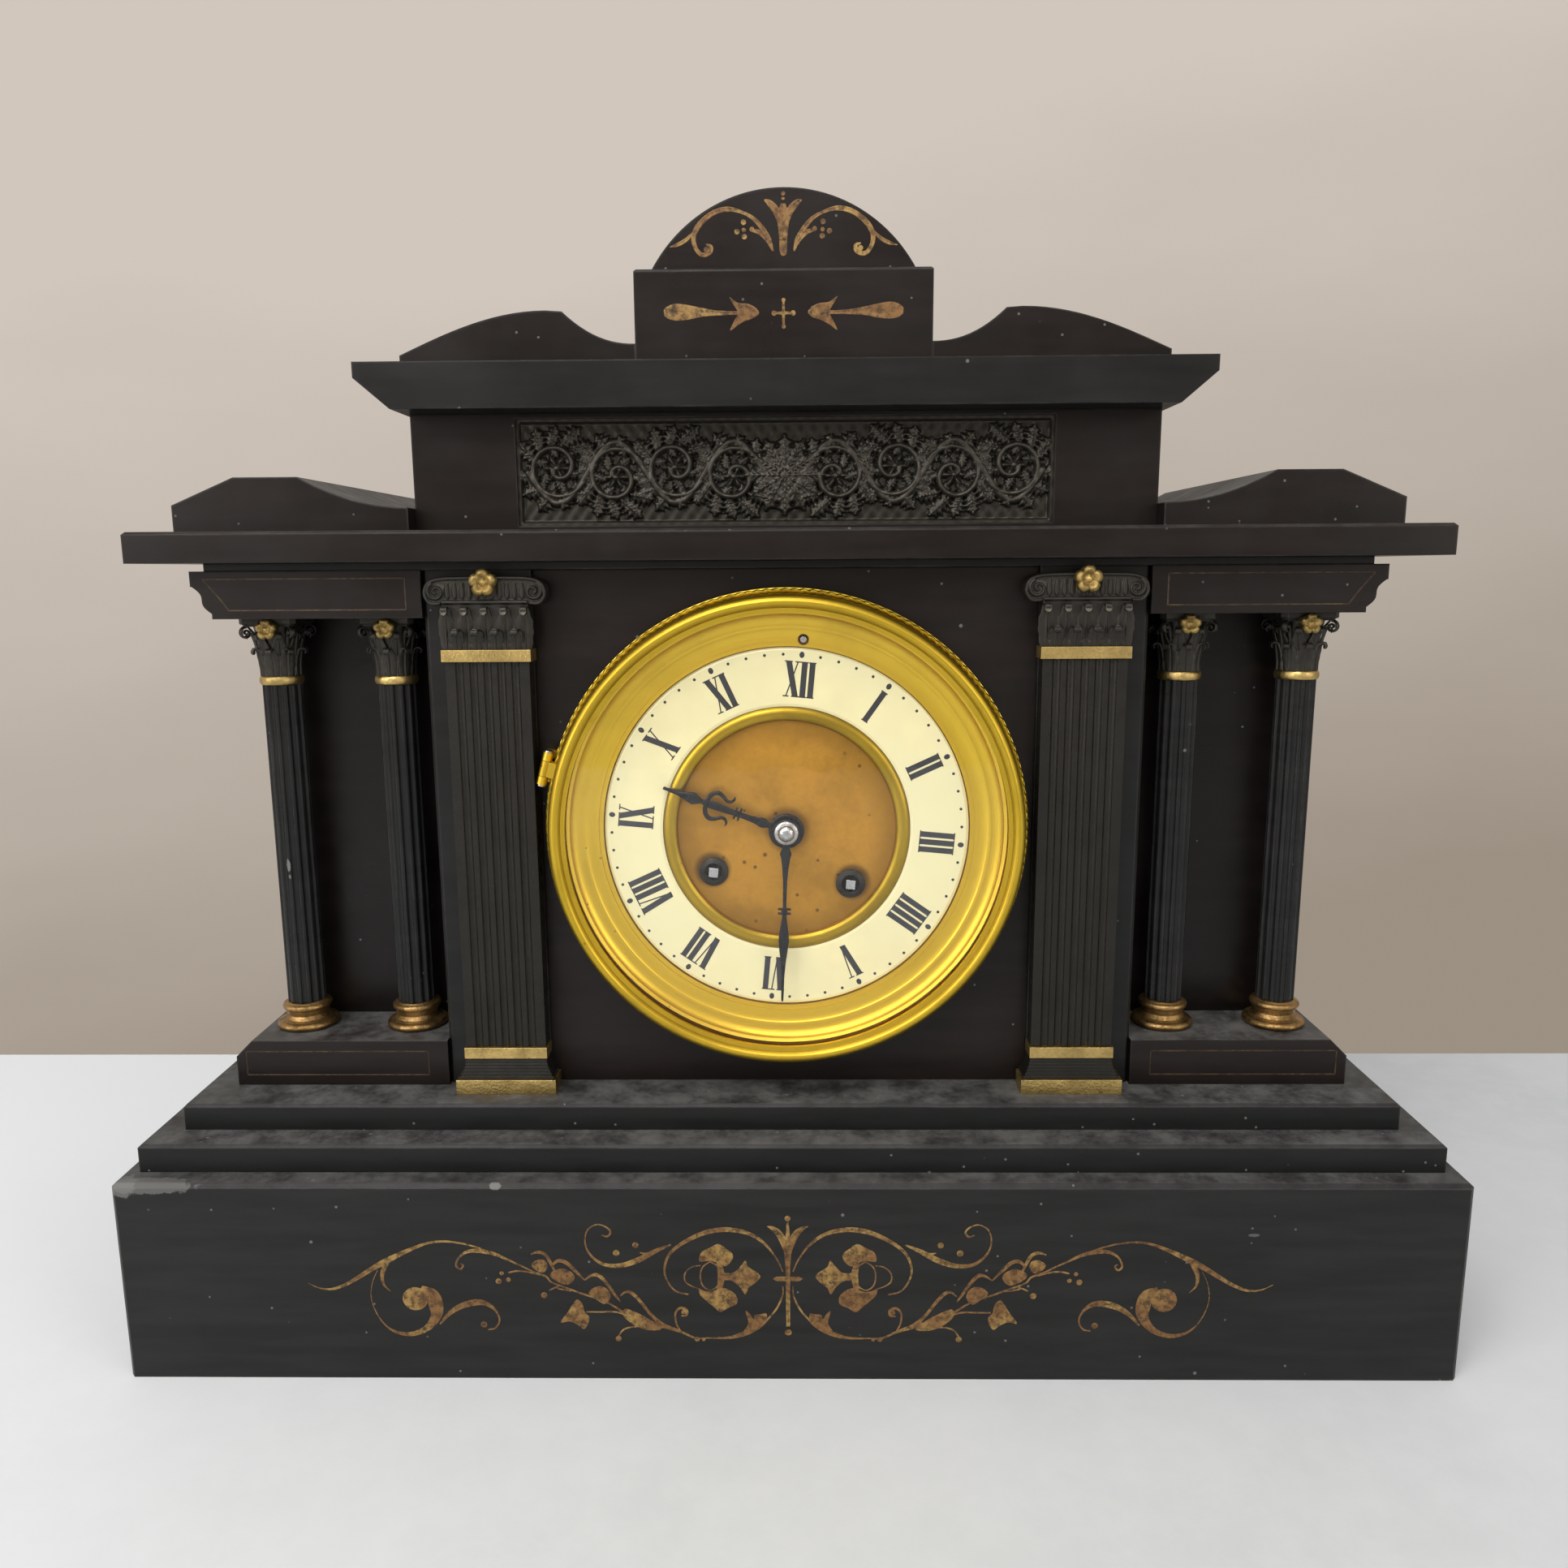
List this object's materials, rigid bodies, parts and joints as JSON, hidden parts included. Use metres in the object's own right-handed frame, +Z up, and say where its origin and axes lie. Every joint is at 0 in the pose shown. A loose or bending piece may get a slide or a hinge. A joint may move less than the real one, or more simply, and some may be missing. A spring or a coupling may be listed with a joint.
{
  "type": "mantel clock",
  "caption": "Mantel clock: dark stone case like a small temple front with columns, stepped plinth and arched crest, round dial under a hinged glazed bezel, movement and bell behind.",
  "frame": {"origin": "centre of the plinth's footprint on the underside", "axes": "+Z up, the dial faces -Y, +X to the right as seen from the front"},
  "size_m": [0.38, 0.15, 0.3309],
  "materials": {
    "slate": "polished black slate, worn at the arrises",
    "bronze": "dark patinated bronze",
    "gilt": "worn gilding",
    "brass": "polished brass with age toning",
    "copper_gilt": "matte copper-toned gilding",
    "blued_steel": "blackened steel",
    "steel": "bright turned steel",
    "enamel": "cream vitreous enamel",
    "bell_metal": "turned bell metal",
    "glass": "clear domed glass"
  },
  "bodies": {
    "case": {"plinth_front": "slate", "plinth_back": "slate", "plinth_ends": "slate", "lower_step": "slate", "upper_step": "slate", "pedestals": "slate", "dial_panel": "slate", "piers": "slate", "case_back": "slate", "wing_walls": "slate", "entablatures": "slate", "fillet_course": "slate", "main_slab": "slate", "lower_scrolls": "slate", "attic": "slate", "frieze_panel": "bronze", "upper_cornice": "slate", "upper_scrolls": "slate", "top_block": "slate", "arched_crest": "slate", "column_shafts": "slate", "column_bases": "gilt", "column_capitals": "slate", "gilt_bands": "gilt", "capital_rosettes": "gilt", "pilaster_shafts": "bronze", "pilaster_capitals": "bronze", "pilaster_bases": "bronze", "dial_ring": "brass", "hinge_pins": "steel", "chapter_ring": "enamel", "dial_centre": "copper_gilt", "inner_ring": "brass", "winding_collets": "bronze", "front_plate": "brass", "back_plate": "brass", "suspension_cock": "brass", "bell": "bell_metal", "bell_stand": "brass", "rear_ring": "brass"},
    "bezel": {"bezel": "brass", "bezel_glass": "glass"},
    "rear_door": {"rear_door": "brass"},
    "minute": {"minute_hand": "blued_steel", "hand_nut": "steel"},
    "hour": {"hour_hand": "blued_steel", "hour_pipe": "brass"},
    "minute_wheel": {"minute_wheel": "brass"},
    "centre": {"centre_arbor": "brass"},
    "third": {"third_wheel": "brass"},
    "escape": {"escape_wheel": "brass"},
    "anchor": {"anchor": "steel"},
    "going_barrel": {"going_barrel": "brass"},
    "strike_barrel": {"strike_barrel": "brass"},
    "going_arbor": {"going_arbor": "steel"},
    "strike_arbor": {"strike_arbor": "steel"},
    "pendulum": {"pendulum_rod": "steel", "pendulum_bob": "brass"},
    "hammer": {"hammer": "steel"},
    "regulator": {"regulator_arbor": "steel"}
  },
  "joints": [
    {"name": "bezel_hinge", "type": "hinge", "parent": "case", "child": "bezel", "pos_m": [-0.06855, -0.0475, 0.17308], "axis": [-0.2656, 0, -0.9641], "range_deg": [0, 88]},
    {"name": "rear_door_hinge", "type": "hinge", "parent": "case", "child": "rear_door", "pos_m": [-0.0625, 0.0675, 0.1542], "axis": [0, 0, 1], "range_deg": [0, 110]},
    {"name": "minute_hand_turn", "type": "hinge", "parent": "case", "child": "minute", "pos_m": [0, -0.049, 0.1542], "axis": [0, 1, 0], "continuous": true},
    {"name": "hour_hand_turn", "type": "hinge", "parent": "case", "child": "hour", "pos_m": [0, -0.046, 0.1542], "axis": [0, 1, 0], "continuous": true},
    {"name": "minute_wheel_turn", "type": "hinge", "parent": "case", "child": "minute_wheel", "pos_m": [-0.00613, -0.036, 0.16159], "axis": [0, 1, 0], "continuous": true},
    {"name": "third_wheel_turn", "type": "hinge", "parent": "case", "child": "third", "pos_m": [0.00921, -0.016, 0.16332], "axis": [0, 1, 0], "continuous": true},
    {"name": "centre_arbor_turn", "type": "hinge", "parent": "case", "child": "centre", "pos_m": [0, -0.016, 0.1542], "axis": [0, 1, 0], "continuous": true},
    {"name": "escape_wheel_turn", "type": "hinge", "parent": "case", "child": "escape", "pos_m": [0.00161, -0.016, 0.17154], "axis": [0, 1, 0], "continuous": true},
    {"name": "going_barrel_turn", "type": "hinge", "parent": "case", "child": "going_barrel", "pos_m": [0.0186, -0.016, 0.1378], "axis": [0, 1, 0], "continuous": true},
    {"name": "strike_barrel_turn", "type": "hinge", "parent": "case", "child": "strike_barrel", "pos_m": [-0.0213, -0.016, 0.1415], "axis": [0, 1, 0], "continuous": true},
    {"name": "going_winding", "type": "hinge", "parent": "case", "child": "going_arbor", "pos_m": [0.0186, -0.016, 0.1378], "axis": [0, 1, 0], "range_deg": [0, 1800]},
    {"name": "strike_winding", "type": "hinge", "parent": "case", "child": "strike_arbor", "pos_m": [-0.0213, -0.016, 0.1415], "axis": [0, 1, 0], "range_deg": [0, 1800]},
    {"name": "pendulum_swing", "type": "hinge", "parent": "case", "child": "pendulum", "pos_m": [0.00281, 0.007, 0.18447], "axis": [0, 1, 0], "range_deg": [-4, 4]},
    {"name": "anchor_rock", "type": "hinge", "parent": "case", "child": "anchor", "pos_m": [0.00281, -0.016, 0.18447], "axis": [0, 1, 0], "range_deg": [-4, 4]},
    {"name": "hammer_lift", "type": "hinge", "parent": "case", "child": "hammer", "pos_m": [-0.03418, -0.006, 0.17545], "axis": [0, 1, 0], "range_deg": [0, 12]},
    {"name": "regulator_turn", "type": "hinge", "parent": "case", "child": "regulator", "pos_m": [0.00508, -0.02, 0.20896], "axis": [0, 1, 0], "range_deg": [-720, 720]}
  ],
  "couplings": [
    {"joint": "hour_hand_turn", "follows": "minute_hand_turn", "ratio": 0.083333},
    {"joint": "minute_wheel_turn", "follows": "minute_hand_turn", "ratio": -0.33333},
    {"joint": "centre_arbor_turn", "follows": "third_wheel_turn", "ratio": -0.125},
    {"joint": "escape_wheel_turn", "follows": "third_wheel_turn", "ratio": -9},
    {"joint": "going_barrel_turn", "follows": "third_wheel_turn", "ratio": 0.029167},
    {"joint": "anchor_rock", "follows": "pendulum_swing", "ratio": 1}
  ]
}
